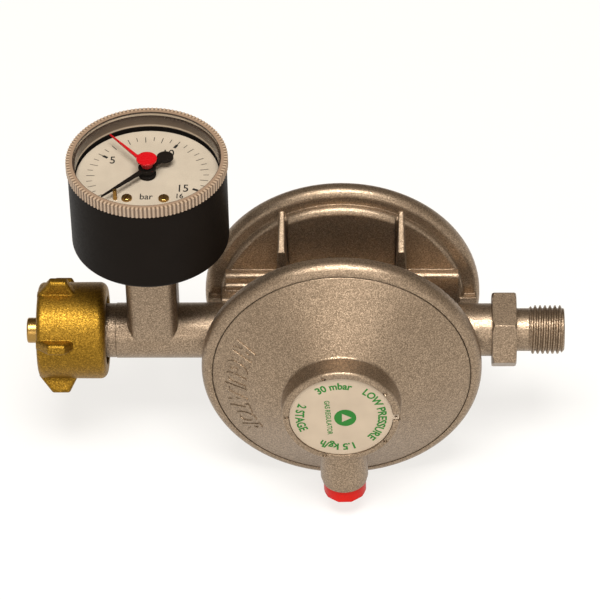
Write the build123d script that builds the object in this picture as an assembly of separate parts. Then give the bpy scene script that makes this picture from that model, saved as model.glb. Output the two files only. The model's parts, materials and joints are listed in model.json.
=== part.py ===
"""Two-stage gas pressure regulator with a contents gauge, as separate pieces.

The pieces are drawn about the point where the pipe axis meets the axis of the two
round chambers, and are written out with the origin at the mouth of the union nut.
X runs with the gas from the inlet to the outlet, -Y faces the low-pressure cover and
+Z points up through the gauge. Millimetres.
"""
import os
from math import cos, pi, radians, sin

from build123d import *

# ---- driving dimensions -------------------------------------------------------------
inlet_to_chambers = 82.0        # union nut mouth to the axis of the round chambers
slide_fit = 0.08                # radial clearance of running fits

# pipe, stubs and the post that carries the gauge
pipe_r = 7.5
inlet_face_x = -68.2            # face that the inlet spigot is pressed against
collar_end_x = -60.9
collar_r = 7.35
outlet_stub_r = 7.15
outlet_face_x = 40.5
gas_bore_r = 2.4
post_x = -50.8
post_width = 13.6
post_depth = 14.4
post_corner_r = 3.0
post_top_z = 25.0

# round chambers: rims, lips and seats
rim_r = 37.5
lip_r = 34.65
flange_bore_r = 36.0
flange_r = 35.9
seat_r = 31.6
diaphragm_thickness = 0.8
flange_thickness = 1.2
front_lip_y = -18.3
front_flange_y = -17.4
front_seat_y = -15.4
front_rim_back_y = -13.2
front_floor_y = -6.8
front_back_y = -4.5
rear_lip_y = 18.9
rear_flange_y = 18.0
rear_seat_y = 16.0
rear_rim_front_y = 13.2
rear_floor_y = 12.8
drum_front_y = 10.6             # raised middle of the drum's front wall
drum_side_y = 11.6              # the same wall outside the ribs
drum_middle_half = 14.4
drum_r = 33.2

# covers and their bosses
front_boss_r = 15.7
front_boss_base_y = -28.8
front_boss_face_y = -34.9
front_boss_bore_r = 12.5
label_r = 13.7
label_thickness = 0.6
label_face_y = -34.5
rear_boss_r = 12.5
rear_boss_base_y = 27.0
rear_boss_face_y = 33.0
rear_boss_bore_r = 9.5
stake_angles = (-108, -36, 36, 108, 180)

# vent stub and its plug, turned a little about the cover axis
vent_turn = 1.4
vent_y = -28.5
vent_r = 6.4
vent_step_z = -26.5
vent_end_z = -27.9
vent_bore_r = 3.2
vent_socket_r = 4.4
vent_plug_r = 5.7
vent_plug_end_z = -33.2

# union nut and spigot
nut_left_x = -82.0
nut_right_x = -63.5
nut_r = 13.1
wing_tip_r = 16.9
wing_count = 5
wing_start_angle = 22.5         # first wing above -Y, about the pipe axis
wing_length = 10.2
wing_width = 2.9
wing_crest_r = 0.9              # rounding along both sides of a wing
nut_thread_r = 10.0             # minor radius of the W 21.8 x 1/14 left-hand thread
nut_hole_r = 7.7
spigot_flange_r = 8.6
spigot_flange_x = -71.2
spigot_tip_x = -85.3
spigot_tip_r = 3.45

# outlet fitting
hex_across_flats = 19.0
hex_end_x = 47.0
neck_r = 5.8
neck_end_x = 50.4
outlet_thread_r = 6.58          # G 1/4 left-hand, major radius
outlet_end_x = 60.0
outlet_bore_r = 3.2

# contents gauge
gauge_x = -50.4
case_r = 20.85
case_wall = 1.2
case_bottom_z = 32.8
case_top_z = 57.0
ring_r = 21.2
ring_top_z = 60.0
ring_knurls = 120
window_z = 58.5
window_thickness = 0.9
dial_z = 54.0                   # printed face
dial_r = 18.9
pointer_rest_angle = 225.5      # counter-clockwise from +X, seen from above
marker_rest_angle = 129.5
gear_module = 0.2
pinion_teeth = 8
sector_full_teeth = 96
sector_angle = 200.0            # direction from the pinion to the sector's pivot

# second stage: valve on the outlet side, lever and stem on the chamber axis
second_axis_y = -9.5
second_pivot = (13.0, -5.6)
second_stem_slot_y = -10.4
second_plate_y = -13.4          # outer face of the rubber at rest
second_nozzle_x = 17.5
second_throw = 2.0              # diaphragm travel from open to shut

# first stage: valve on the inlet side
first_axis_y = 3.0
first_pivot = (-13.0, -1.6)
first_stem_slot_y = 11.0
first_plate_y = 15.0
first_nozzle_x = -19.4
first_throw = 1.4

slot_half_width = 3.6           # half width of both valve slots along Z
pin_r = 1.0

# sizes shared by pieces that fit together
shank_r = 4.0                   # spigot's pressed shank
shank_end_x = -58.0
nut_shoulder_x = -67.2
nozzle_r = 3.0
ledge_width = 1.2               # ledges that the valve holders slide on
pad_r = 2.0
pin_half_length = 5.8
arm_width = 1.1
arm_half_height = 1.2
arm_tip_r = 0.9
lever_hub_r = 1.55
stem_r = 1.5
outlet_shank_r = 5.2
outlet_shank_x = 31.0
hex_turn = 13.0
label_seat_y = -33.9
front_screw_y = (-33.0, -29.6)
rear_screw_y = (27.4, 31.0)
gauge_thread_r = 4.9
socket_neck_r = 5.9
case_floor_z = 34.4
ring_inner_r = 19.35
knurl_depth = 0.3
arbor_r = 0.5
back_plate_z = (46.0, 47.2)
front_plate_z = (52.2, 53.4)
dial_screw_angles = (242.0, 296.0)
dial_screw_r = 10.6
tube_r = 14.0
tube_z = 42.0
tube_sweep = 264.0
link_post = (14.9, 179.0)       # radius and angle of the post on the tube's tip
tail_r = 5.5
sector_teeth = (-2, 9)          # teeth either side of the line of centres at rest
tooth_fill = 0.8


# ---- helpers --------------------------------------------------------------------------
def outline(points):
    """Closed flat face from (a, b) points; a third value rounds that corner."""
    face = make_face(Polyline(*[point[:2] for point in points], close=True))
    for a, b, radius in [point for point in points if len(point) == 3]:
        corner = face.vertices().sort_by_distance((a, b, 0))[0]
        face = fillet(corner, radius)
    return face


def turned_x(points):
    """Turned piece about X from (x, radius) points."""
    return revolve(outline(points), Axis.X)


def turned_y(points):
    """Turned piece about Y from (y, radius) points."""
    swapped = [(point[1], point[0], *point[2:]) for point in points]
    return revolve(outline(swapped), Axis.Y)


def turned_z(points, x=gauge_x, y=0.0):
    """Turned piece about a vertical axis from (z, radius) points."""
    swapped = [(point[1], point[0], *point[2:]) for point in points]
    return Pos(x, y, 0) * revolve(Plane.XZ * outline(swapped), Axis.Z)


def span_box(x, y, z):
    """Box between three pairs of limits."""
    size = (x[1] - x[0], y[1] - y[0], z[1] - z[0])
    centre = (sum(x) / 2, sum(y) / 2, sum(z) / 2)
    return Pos(*centre) * Box(*size)


def rod_x(radius, x, y=0.0, z=0.0):
    """Round rod along X between two x values."""
    return Pos(sum(x) / 2, y, z) * Rot(0, 90, 0) * Cylinder(radius, x[1] - x[0])


def rod_y(radius, y, x=0.0, z=0.0):
    """Round rod along Y between two y values."""
    return Pos(x, sum(y) / 2, z) * Rot(90, 0, 0) * Cylinder(radius, y[1] - y[0])


def rod_z(radius, z, x=0.0, y=0.0):
    """Round rod along Z between two z values."""
    return Pos(x, y, sum(z) / 2) * Cylinder(radius, z[1] - z[0])


def coil_spring_y(coil_r, wire_r, y, turns):
    """Helical spring along Y between two y values, its wire centred inside them."""
    length = y[1] - y[0] - 2 * wire_r
    path = Helix(pitch=length / turns, height=length, radius=coil_r)
    wire = sweep(Plane(path @ 0, z_dir=path % 0) * Circle(wire_r), path=path, is_frenet=True)
    return Pos(0, y[0] + wire_r, 0) * Rot(-90, 0, 0) * wire


def at_angle(radius, angle):
    """Plan position at a distance and an angle from the gauge axis."""
    return gauge_x + radius * cos(radians(angle)), radius * sin(radians(angle))


# ---- housing: body casting ---------------------------------------------------------------
def front_bowl():
    """Outside of the low-pressure bowl, still solid."""
    return turned_y([
        (front_back_y, 0), (front_back_y, 27.5, 3.0), (front_rim_back_y, 34.0),
        (front_rim_back_y, rim_r, 0.8), (front_lip_y, rim_r, 3.0), (front_lip_y, 0),
    ])


def rear_drum():
    """Outside of the first-stage drum, its middle raised and its rim thick, still solid."""
    drum = turned_y([
        (drum_side_y, 0), (drum_side_y, drum_r, 1.2), (rear_rim_front_y, drum_r),
        (rear_rim_front_y, rim_r, 2.2), (rear_lip_y, rim_r, 3.0), (rear_lip_y, 0),
    ])
    middle = turned_y([
        (drum_front_y, 0), (drum_front_y, drum_r, 2.0), (rear_rim_front_y, drum_r),
        (rear_rim_front_y, 0),
    ])
    reach = (-drum_middle_half, drum_middle_half)
    return drum + (middle & span_box(reach, (0, 20), (-40, 40)))


def stiffening_rib(x):
    """Drafted rib from the drum rim to the core, with a sloping top edge."""
    low, high, base_half, tip_half = 4.0, 33.0, 2.0, 0.6
    length = rear_rim_front_y + 0.6 - 2.0
    middle = 2.0 + length / 2
    foot = Plane((x, middle, low)) * Rectangle(2 * base_half, length)
    tip = Plane((x, middle, high)) * Rectangle(2 * tip_half, length)
    rib = loft([foot, tip])
    top_slope = Plane((x, 2.0, 25.8), x_dir=(1, 0, 0), z_dir=(0, -0.394, 0.919))
    rib -= top_slope * Pos(0, 0, 10) * Box(20, 60, 20)
    crest = rib.faces().sort_by(Axis.Z)[-1]
    long_edges = [edge for edge in crest.edges() if edge.length > 5]
    return fillet(long_edges, 0.4)


def soft_block(x, y, z, radius):
    """Block whose long front edges are rounded."""
    block = span_box(x, y, z)
    return fillet(block.edges().filter_by(Axis.X).group_by(Axis.Y)[0], radius)


def outer_casting():
    """Everything on the outside of the casting, before any hole is made."""
    shape = front_bowl() + rear_drum()
    shape += span_box((-24, 24), (-6.0, 11.0), (-8.0, 8.0))
    for x in (-16.0, 16.0):
        rib = stiffening_rib(x)
        shape += rib
        shape += Rot(0, 180, 0) * Pos(-2 * x, 0, 0) * rib
    shape += soft_block((-31.6, 31.6), (9.0, 11.8), (-11.6, 11.6), 1.2)
    shape += soft_block((-31.6, -22.0), (8.2, 11.0), (-8.8, 8.8), 1.0)
    shape += soft_block((-32.6, -22.0), (4.2, 9.8), (-7.0, 7.0), 1.0)
    for x in ((-36.6, -32.0), (32.0, 36.6)):
        shape += span_box(x, (11.2, 14.0), (-6.0, 1.5))
    shape += rod_x(pipe_r, (collar_end_x, 0.0))
    shape += rod_x(collar_r, (inlet_face_x, collar_end_x))
    shape += rod_x(outlet_stub_r, (0.0, outlet_face_x))
    return shape


def gauge_post():
    """Rounded square post that rises from the inlet pipe to the gauge."""
    plan = RectangleRounded(post_width, post_depth, post_corner_r)
    post = extrude(Pos(post_x, 0, 0) * plan, post_top_z)
    return post & span_box((-70, -30), (-20, 20), (1.0, post_top_z))


def body_casting():
    """Die-cast body: both bowls, core, ribs, inlet pipe, gauge post and outlet stub."""
    body = outer_casting()
    body += gauge_post()
    # low-pressure chamber with the seat for its diaphragm and the groove for its cover
    body -= turned_y([
        (front_lip_y - 1, 0), (front_lip_y - 1, lip_r), (front_flange_y, lip_r),
        (front_flange_y, flange_bore_r), (front_seat_y, flange_bore_r),
        (front_seat_y, seat_r), (-14.0, seat_r), (front_floor_y, 25.5, 2.0), (front_floor_y, 0),
    ])
    # first-stage chamber
    body -= turned_y([
        (rear_lip_y + 1, 0), (rear_lip_y + 1, lip_r), (rear_flange_y, lip_r),
        (rear_flange_y, flange_bore_r), (rear_seat_y, flange_bore_r),
        (rear_seat_y, 30.5), (rear_floor_y, 30.5, 1.0), (rear_floor_y, 0),
    ])
    # valve block of the second stage, its stepped slot and the passage to its nozzle
    wide = (-slot_half_width, slot_half_width)
    narrow = (-slot_half_width + ledge_width, slot_half_width - ledge_width)
    body += span_box((8.0, 26.0), (-12.2, -5.0), (-6.0, 6.0))
    body -= span_box((-1.5, 19.0), (-13.0, -7.2), wide)
    body -= span_box((-1.5, 19.0), (-7.3, -3.6), narrow)
    body -= rod_x(nozzle_r, (18.0, 24.0), second_axis_y)
    body += span_box((23.0, 25.6), (5.0, 9.4), (-3.0, 1.5))
    body -= rod_y(1.0, (second_axis_y, rear_floor_y + 0.5), x=22.8, z=-0.6)
    # stepped slot of the first stage and the inlet passage
    body -= span_box((-19.5, -5.0), (0.8, rear_floor_y + 0.5), wide)
    body -= span_box((-19.5, -5.0), (-3.6, 0.9), narrow)
    body -= span_box((-5.0, 4.0), (2.0, rear_floor_y + 0.5), wide)
    body -= rod_x(nozzle_r, (-27.0, -19.0), first_axis_y)
    body -= rod_x(gas_bore_r, (inlet_face_x - 1, -24.5))
    body -= rod_x(shank_r, (inlet_face_x - 1, shank_end_x))
    # passage from the low-pressure chamber to the outlet stub
    body -= rod_x(4.5, (26.4, outlet_face_x))
    body -= rod_x(outlet_shank_r, (outlet_shank_x, outlet_face_x + 1))
    body -= span_box((26.4, 29.0), (-11.0, 0.0), (-3.0, 3.0))
    # pin holes and the gauge port
    body -= rod_z(pin_r, (-pin_half_length, pin_half_length), *second_pivot)
    body -= rod_z(pin_r, (-pin_half_length, pin_half_length), *first_pivot)
    body -= rod_z(1.5, (0.0, 13.0), gauge_x)
    body -= rod_z(gauge_thread_r, (12.5, post_top_z + 1), gauge_x)
    return body


# ---- housing: covers and what closes them ------------------------------------------------
def front_cover():
    """Conical low-pressure cover with its boss, vent stub, label seat and stake marks."""
    cover = turned_y([
        (front_flange_y + flange_thickness, 0), (front_flange_y + flange_thickness, flange_r),
        (front_flange_y, flange_r), (front_flange_y, lip_r - 0.25), (front_lip_y, lip_r - 0.25),
        (front_boss_base_y, front_boss_r + 0.1, 1.0), (front_boss_face_y, front_boss_r, 0.8),
        (front_boss_face_y, 0),
    ])
    turn = Rot(0, -vent_turn, 0)
    cover += turn * rod_z(vent_r, (vent_step_z, -10.0), 0, vent_y)
    cover += turn * rod_z(vent_r - 0.35, (vent_end_z, vent_step_z + 0.4), 0, vent_y)
    cover -= turned_y([
        (-16.1, 0), (-16.1, 30.5), (-17.2, 30.5), (-27.2, front_boss_bore_r),
        (label_seat_y, front_boss_bore_r), (label_seat_y, label_r + 0.1),
        (front_boss_face_y - 1, label_r + 0.1), (front_boss_face_y - 1, 0),
    ])
    cover -= turn * rod_z(vent_bore_r, (vent_end_z - 1, -11.0), 0, vent_y)
    cover -= turn * rod_z(vent_socket_r, (vent_end_z - 1, -22.5), 0, vent_y)
    cover -= span_box((13.0, 16.5), (front_boss_face_y - 1, label_seat_y), (-1.1, 1.1))
    for angle in stake_angles:
        stake = rod_y(0.6, (front_boss_face_y - 1, front_boss_face_y + 0.4), x=label_r + 0.7)
        cover -= Rot(0, -angle, 0) * stake
    return cover


def rear_cover():
    """Conical first-stage cover with a small boss and a breather hole."""
    cover = turned_y([
        (rear_flange_y - flange_thickness, 0), (rear_flange_y - flange_thickness, flange_r),
        (rear_flange_y, flange_r), (rear_flange_y, lip_r - 0.25), (rear_lip_y, lip_r - 0.25),
        (rear_boss_base_y, rear_boss_r + 0.1, 1.0), (rear_boss_face_y, rear_boss_r, 0.8),
        (rear_boss_face_y, 0),
    ])
    cover -= turned_y([
        (16.7, 0), (16.7, 30.5), (17.8, 30.5), (25.6, rear_boss_bore_r),
        (rear_boss_face_y + 1, rear_boss_bore_r), (rear_boss_face_y + 1, 0),
    ])
    return cover - rod_y(0.8, (15.0, 30.0), z=-22.0)


def label_plate():
    """Round plate that is staked over the adjusting screw, with a small eyed tab."""
    y = (label_face_y, label_seat_y)
    plate = rod_y(label_r, y) + span_box((13.0, 15.3), y, (-0.95, 0.95))
    return plate - rod_y(0.4, (-36.0, -33.0), x=14.5)


def front_adjusting_screw():
    """Large screw that sets the outlet pressure, with a hexagon socket and two vents."""
    screw = rod_y(front_boss_bore_r, (front_screw_y[0], front_screw_y[1]))
    socket = extrude(Plane.XZ * RegularPolygon(4.0, 6), 2.4)
    screw -= Pos(0, front_screw_y[0] + 2.4, 0) * socket
    for x in (-8.0, 8.0):
        screw -= rod_y(1.2, (front_screw_y[0] - 1, front_screw_y[1] + 1), x=x)
    return screw


def rear_adjusting_screw():
    """Screw that sets the pressure between the stages."""
    screw = rod_y(rear_boss_bore_r, rear_screw_y)
    socket = extrude(Plane.XZ * RegularPolygon(3.5, 6), -2.0)
    return screw - Pos(0, rear_screw_y[1] - 2.0, 0) * socket


def rear_cap():
    """Pressed cap that seals the rear adjusting screw."""
    return turned_y([
        (rear_boss_face_y - 1.6, 0), (rear_boss_face_y - 1.6, rear_boss_bore_r),
        (rear_boss_face_y + 0.2, rear_boss_bore_r, 0.5), (rear_boss_face_y + 0.2, 0),
    ])


def vent_plug():
    """Push-in plug of the vent stub, its free end cut to a ten-sided point."""
    head = rod_z(vent_plug_r, (vent_plug_end_z, vent_end_z), 0, vent_y)
    taper = extrude(RegularPolygon(4.4, 10), 6.0, taper=-45)
    head &= Pos(0, vent_y, vent_plug_end_z) * taper
    head += rod_z(vent_socket_r - slide_fit, (vent_end_z - 1, -23.0), 0, vent_y)
    head -= rod_z(2.0, (-25.0, -22.0), 0, vent_y)
    return Rot(0, -vent_turn, 0) * head


# ---- outlet -----------------------------------------------------------------------------
def outlet_fitting():
    """Screwed-in outlet: shank, hexagon, neck and the G 1/4 left-hand thread's cylinder."""
    fitting = turned_x([
        (outlet_shank_x, 0), (outlet_shank_x, outlet_shank_r), (hex_end_x, outlet_shank_r),
        (hex_end_x, neck_r), (neck_end_x, neck_r), (neck_end_x + 0.8, outlet_thread_r),
        (outlet_end_x - 1.0, outlet_thread_r), (outlet_end_x, outlet_thread_r - 1.0),
        (outlet_end_x, 0),
    ])
    corner_r = hex_across_flats / 2 / cos(radians(30))
    prism = Plane.YZ * RegularPolygon(corner_r, 6, rotation=hex_turn)
    prism = Pos(outlet_face_x, 0, 0) * extrude(prism, hex_end_x - outlet_face_x)
    crown = turned_x([
        (outlet_face_x, 0), (outlet_face_x, corner_r - 0.9), (outlet_face_x + 0.5, corner_r),
        (hex_end_x - 0.5, corner_r), (hex_end_x, corner_r - 0.9), (hex_end_x, 0),
    ])
    fitting += prism & crown
    return fitting - rod_x(outlet_bore_r, (outlet_shank_x - 1, outlet_end_x + 1))


# ---- inlet: spigot, its seal, the filter and the union nut ---------------------------------
def inlet_spigot():
    """Brass spigot pressed into the pipe; its flange holds the union nut on."""
    spigot = turned_x([
        (spigot_tip_x, 0), (spigot_tip_x, spigot_tip_r, 0.5), (-79.5, spigot_tip_r),
        (-77.5, 5.8), (-75.2, 5.8), (-75.2, 4.6), (-73.2, 4.6), (-73.2, 5.8),
        (spigot_flange_x, 5.8), (spigot_flange_x, spigot_flange_r),
        (inlet_face_x, spigot_flange_r), (inlet_face_x, shank_r), (shank_end_x, shank_r),
        (shank_end_x, 0),
    ])
    return spigot - rod_x(1.7, (spigot_tip_x - 1, shank_end_x + 1))


def spigot_seal():
    """O-ring in the spigot's groove."""
    ring = Pos(5.45, 0) * Circle(0.85)
    return Pos(-74.2, 0, 0) * Rot(0, 90, 0) * revolve(Plane.XZ * ring, Axis.Z)


def inlet_filter():
    """Sintered filter disc behind the spigot."""
    return rod_x(gas_bore_r, (-57.9, -54.5))


def nut_wing():
    """One finger wing of the union nut, standing along +Z."""
    left, right = nut_left_x, nut_left_x + wing_length
    side = outline([
        (left, 11.0), (left, 12.4), (left + 3.6, wing_tip_r, 0.8),
        (left + 8.1, wing_tip_r, 0.8), (right, 12.8), (right, 11.0)])
    wing = extrude(Plane.XZ * side, wing_width / 2, both=True)
    crests = [edge for edge in wing.edges()
              if edge.center().Z > 13.5 and abs(edge.center().Y) > 0.9 * wing_width / 2]
    return fillet(crests, wing_crest_r)


def hand_nut():
    """Brass union nut with five finger wings."""
    nut = turned_x([
        (nut_left_x, 0), (nut_left_x, nut_r - 0.1, 1.4), (nut_right_x, nut_r, 2.0),
        (nut_right_x, 0),
    ])
    for index in range(wing_count):
        angle = wing_start_angle + index * 360 / wing_count
        nut += Rot(90 - angle, 0, 0) * nut_wing()
    nut -= turned_x([
        (nut_left_x - 1, 0), (nut_left_x - 1, 11.0), (nut_left_x, 11.0),
        (nut_left_x + 1.0, nut_thread_r), (-70.6, nut_thread_r), (-70.6, 10.5),
        (nut_shoulder_x, 10.5), (nut_shoulder_x, nut_hole_r), (nut_right_x - 1.4, nut_hole_r),
        (nut_right_x - 1.4, 9.4), (nut_right_x + 1, 9.4), (nut_right_x + 1, 0),
    ])
    return nut


def nut_slip_ring():
    """Loose ring between the spigot's flange and the nut's shoulder."""
    ring = rod_x(9.9, (inlet_face_x, nut_shoulder_x))
    return ring - rod_x(pipe_r + 0.1, (inlet_face_x - 1, nut_shoulder_x + 1))


# ---- valves -------------------------------------------------------------------------------
def nozzle(tip_x, direction, axis_y):
    """Pressed-in valve nozzle; its tip points along X in the given direction."""
    base_x = tip_x - direction * 0.6
    back_x = tip_x - direction * 5.1
    body = rod_x(nozzle_r, sorted((back_x, base_x)), axis_y)
    body += rod_x(1.6, sorted((base_x, tip_x)), axis_y)
    return body - rod_x(0.8, (min(back_x, tip_x) - 1, max(back_x, tip_x) + 1), axis_y)


def valve_holder(x, y, pocket_x, slot_x, slot_y):
    """Sliding block with a recess for its pad and a slot for the lever's short arm."""
    half_width = slot_half_width - 0.1
    block = span_box(x, y, (-half_width, half_width))
    block -= rod_x(pad_r, pocket_x, sum(y) / 2)
    return block - span_box((slot_x - 1.0, slot_x + 1.0), slot_y, (-1.5, 1.5))


def bar(start, end, width, half_height):
    """Flat straight bar with round ends between two points in plan."""
    a, b = Vector(*start), Vector(*end)
    middle = (a + b) / 2
    angle = (b - a).get_signed_angle(Vector(1, 0, 0), Vector(0, 0, -1))
    link = Pos(middle.X, middle.Y, 0) * Rot(0, 0, angle) * Box((b - a).length, width,
                                                               2 * half_height)
    for point in (start, end):
        link += rod_z(width / 2, (-half_height, half_height), *point)
    return link


def lever(pivot, valve_point, arm_points):
    """Bent lever on its pin: a short arm to the valve and a long arm to the stem."""
    shape = bar(pivot, valve_point, arm_width, arm_half_height)
    shape += rod_z(arm_tip_r, (-arm_half_height, arm_half_height), *valve_point)
    for start, end in zip(arm_points, arm_points[1:]):
        shape += bar(start, end, arm_width, arm_half_height)
    shape += rod_z(arm_tip_r, (-arm_half_height, arm_half_height), *arm_points[-1])
    shape += rod_z(lever_hub_r, (-2.2, 2.2), *pivot)
    return shape - rod_z(pin_r + 0.05, (-3, 3), *pivot)


def lever_pin(pivot):
    """Pin that the lever turns on."""
    return rod_z(pin_r, (-pin_half_length, pin_half_length), *pivot)


# ---- diaphragm stacks -----------------------------------------------------------------------
def diaphragm(centre_faces, rim_faces, hole_r):
    """Rubber diaphragm from its flat centre down one slope to its clamped rim."""
    return turned_y([
        (centre_faces[0], hole_r), (centre_faces[0], 23.5), (rim_faces[0], 30.3),
        (rim_faces[0], flange_bore_r - 0.2), (rim_faces[1], flange_bore_r - 0.2),
        (rim_faces[1], 30.0), (centre_faces[1], 23.2), (centre_faces[1], hole_r),
    ])


def disc_y(radius, hole_r, y):
    """Flat washer or plate about Y."""
    return rod_y(radius, y) - rod_y(hole_r, (y[0] - 1, y[1] + 1))


def yoke(y, slot_middle):
    """Square end of a stem with the slot that takes the lever's tip."""
    block = span_box((-2.2, 2.2), y, (-2.3, 2.3))
    return block - span_box((-3, 3), (slot_middle - 1.0, slot_middle + 1.0), (-1.4, 1.4))


def second_stem():
    """Low-pressure stem: yoke, relief seat and the shaft through the diaphragm."""
    stem = yoke((-11.9, -8.6), second_stem_slot_y)
    stem += rod_y(3.5, (second_plate_y + diaphragm_thickness, -11.8))
    return stem + rod_y(stem_r, (-21.0, -11.8))


def first_stem():
    """First-stage stem: yoke, clamping flange and the threaded shaft."""
    stem = yoke((9.2, 12.8), first_stem_slot_y)
    stem += rod_y(2.2, (12.4, 13.6))
    stem += rod_y(6.0, (13.4, first_plate_y - diaphragm_thickness))
    return stem + rod_y(stem_r, (14.0, 18.0))


def first_stem_nut():
    """Nut that clamps the first-stage diaphragm between its plate and the stem."""
    prism = extrude(Plane.XZ * RegularPolygon(3.6, 6), -1.8)
    nut = Pos(0, first_plate_y + diaphragm_thickness, 0) * prism
    return nut - rod_y(stem_r, (12, 20))


# ---- gauge: case, socket and glass ------------------------------------------------------------
def hexagon_z(across_flats, z, x=gauge_x):
    """Hexagonal prism about a vertical axis."""
    corner_r = across_flats / 2 / cos(radians(30))
    return Pos(x, 0, z[0]) * extrude(RegularPolygon(corner_r, 6), z[1] - z[0])


def gauge_socket():
    """Brass socket: thread cylinder, hexagon, neck and the block that holds the movement."""
    socket = rod_z(gauge_thread_r, (13.0, 26.5), gauge_x)
    socket += hexagon_z(14.0, (post_top_z + 0.8, case_bottom_z))
    socket += rod_z(socket_neck_r, (case_bottom_z - 0.5, 37.5), gauge_x)
    socket += Pos(gauge_x, 0, 41.5) * Box(8, 8, 9)
    socket -= rod_z(0.8, (12.0, 42.0), gauge_x)
    socket -= Pos(gauge_x, -3.0, 42.0) * Rot(90, 0, 0) * Cylinder(0.8, 7.0)
    return socket - rod_z(2.0, (12.0, 15.0), gauge_x)


def gauge_restrictor():
    """Small screw with a fine hole that damps the gauge."""
    return rod_z(2.0, (13.0, 15.0), gauge_x) - rod_z(0.25, (12, 16), gauge_x)


def gauge_seal():
    """Flat washer between the post and the gauge's hexagon."""
    z = (post_top_z, post_top_z + 0.8)
    return rod_z(6.6, z, gauge_x) - rod_z(gauge_thread_r, (z[0] - 1, z[1] + 1), gauge_x)


def gauge_case():
    """Deep moulded case with a hole for the socket's neck."""
    return turned_z([
        (case_bottom_z, socket_neck_r), (case_bottom_z, case_r, 1.4), (case_top_z, case_r),
        (case_top_z, case_r - case_wall), (case_floor_z, case_r - case_wall, 0.8),
        (case_floor_z, socket_neck_r),
    ])


def case_nut():
    """Thin nut that clamps the case to the socket."""
    nut = hexagon_z(16.0, (case_floor_z, case_floor_z + 2.4))
    return nut - rod_z(socket_neck_r, (case_floor_z - 1, 38.0), gauge_x)


def knurled_ring():
    """Ring that turns on the case and carries the window, knurled outside."""
    ring = turned_z([
        (ring_top_z, ring_inner_r), (ring_top_z, ring_r), (case_top_z + 0.2, ring_r),
        (case_top_z + 0.2, case_r - case_wall - 0.1), (55.4, case_r - case_wall - 0.1),
        (55.4, dial_r), (window_z, dial_r), (window_z, ring_inner_r),
    ])
    points = []
    for index in range(2 * ring_knurls):
        radius = ring_r if index % 2 else ring_r - knurl_depth
        angle = radians(180 * index / ring_knurls)
        points.append((radius * cos(angle), radius * sin(angle)))
    star = Pos(gauge_x, 0, 50.0) * extrude(make_face(Polyline(*points, close=True)), 12.0)
    return ring & star


def gauge_window():
    """Clear pane with a hole for the marker's hub."""
    z = (window_z, window_z + window_thickness)
    return rod_z(ring_inner_r, z, gauge_x) - rod_z(1.0, (z[0] - 1, z[1] + 1), gauge_x)


def tapered_needle(angle, z, start, tip, base_width, tip_width):
    """Flat tapered needle from one radius to another, in the given direction."""
    blade = make_face(Polyline(
        (start, -base_width / 2), (tip, -tip_width / 2), (tip, tip_width / 2),
        (start, base_width / 2), close=True))
    return Pos(gauge_x, 0, z[0]) * Rot(0, 0, angle) * extrude(blade, z[1] - z[0])


def marker_pointer():
    """Red marker: a cap on the window, its stem and the needle below."""
    window_top = window_z + window_thickness
    marker = rod_z(2.7, (window_top, window_top + 0.5), gauge_x)
    marker += rod_z(1.0, (57.4, window_top + 0.2), gauge_x)
    marker += rod_z(1.5, (57.4, window_z - 0.1), gauge_x)
    marker += tapered_needle(marker_rest_angle, (57.6, 58.0), 0.0, 16.2, 1.15, 0.3)
    return marker


def pointer():
    """Black pointer with a tall hub and a round tail."""
    z = (56.3, 56.8)
    needle = rod_z(2.3, (54.3, 54.9), gauge_x) + rod_z(1.75, (54.8, 56.4), gauge_x)
    needle += rod_z(2.3, (56.2, 57.0), gauge_x)
    needle += tapered_needle(pointer_rest_angle, z, 0.0, 16.2, 1.5, 0.3)
    needle += tapered_needle(pointer_rest_angle + 180, z, 0.0, 6.0, 1.8, 1.8)
    needle += rod_z(2.2, z, *at_angle(6.4, pointer_rest_angle + 180))
    return needle - rod_z(arbor_r, (50, 56.0), gauge_x)


def dial():
    """Printed dial plate."""
    plate = rod_z(dial_r - 0.1, (front_plate_z[1], dial_z), gauge_x)
    plate -= rod_z(1.3, (50, 56), gauge_x)
    for angle in dial_screw_angles:
        plate -= rod_z(0.6, (50, 56), *at_angle(dial_screw_r, angle))
    return plate


def dial_screws():
    """Two round-headed screws that hold the dial to the movement."""
    screws = []
    for angle in dial_screw_angles:
        x, y = at_angle(dial_screw_r, angle)
        head = turned_z([(dial_z, 0), (dial_z, 1.4), (dial_z + 0.8, 1.4, 0.5),
                         (dial_z + 0.8, 0)], x, y)
        head += rod_z(0.6, (front_plate_z[0], dial_z + 0.2), x, y)
        slot = Pos(x, y, dial_z + 0.8) * Rot(0, 0, angle) * Box(4, 0.35, 0.5)
        screws.append(head - slot)
    return Compound(children=screws)


def stop_pin():
    """Pin that the pointer rests against at zero."""
    x, y = at_angle(12.4, pointer_rest_angle + 4.4)
    return rod_z(0.55, (dial_z, 57.0), x, y)


# ---- gauge: movement ----------------------------------------------------------------------------
def bourdon_tube():
    """Flattened C-shaped tube that opens as the pressure rises."""
    section = Pos(tube_r, 0) * (Ellipse(1.1, 3.0) - Ellipse(0.8, 2.7))
    coil = revolve(Plane.XZ * section, Axis.Z, tube_sweep)
    return Pos(gauge_x, 0, tube_z) * Rot(0, 0, -90) * coil


def tube_holder():
    """Arm soldered to the socket's block that feeds the tube's fixed end."""
    arm = span_box((gauge_x - 5.0, gauge_x), (-15.4, -12.6), (39.0, 45.0))
    arm += span_box((gauge_x - 5.0, gauge_x - 1.6), (-13.0, -4.0), (39.0, 45.0))
    return arm


def tube_tip():
    """Closing piece on the tube's free end with the post for the link."""
    x, y = at_angle(*link_post)
    cap = Pos(gauge_x, 0, 0) * Rot(0, 0, tube_sweep - 90) * span_box(
        (12.8, 15.2), (0.02, 2.2), (39.0, 45.0))
    return cap + rod_z(0.8, (44.0, 50.6), x, y)


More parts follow.
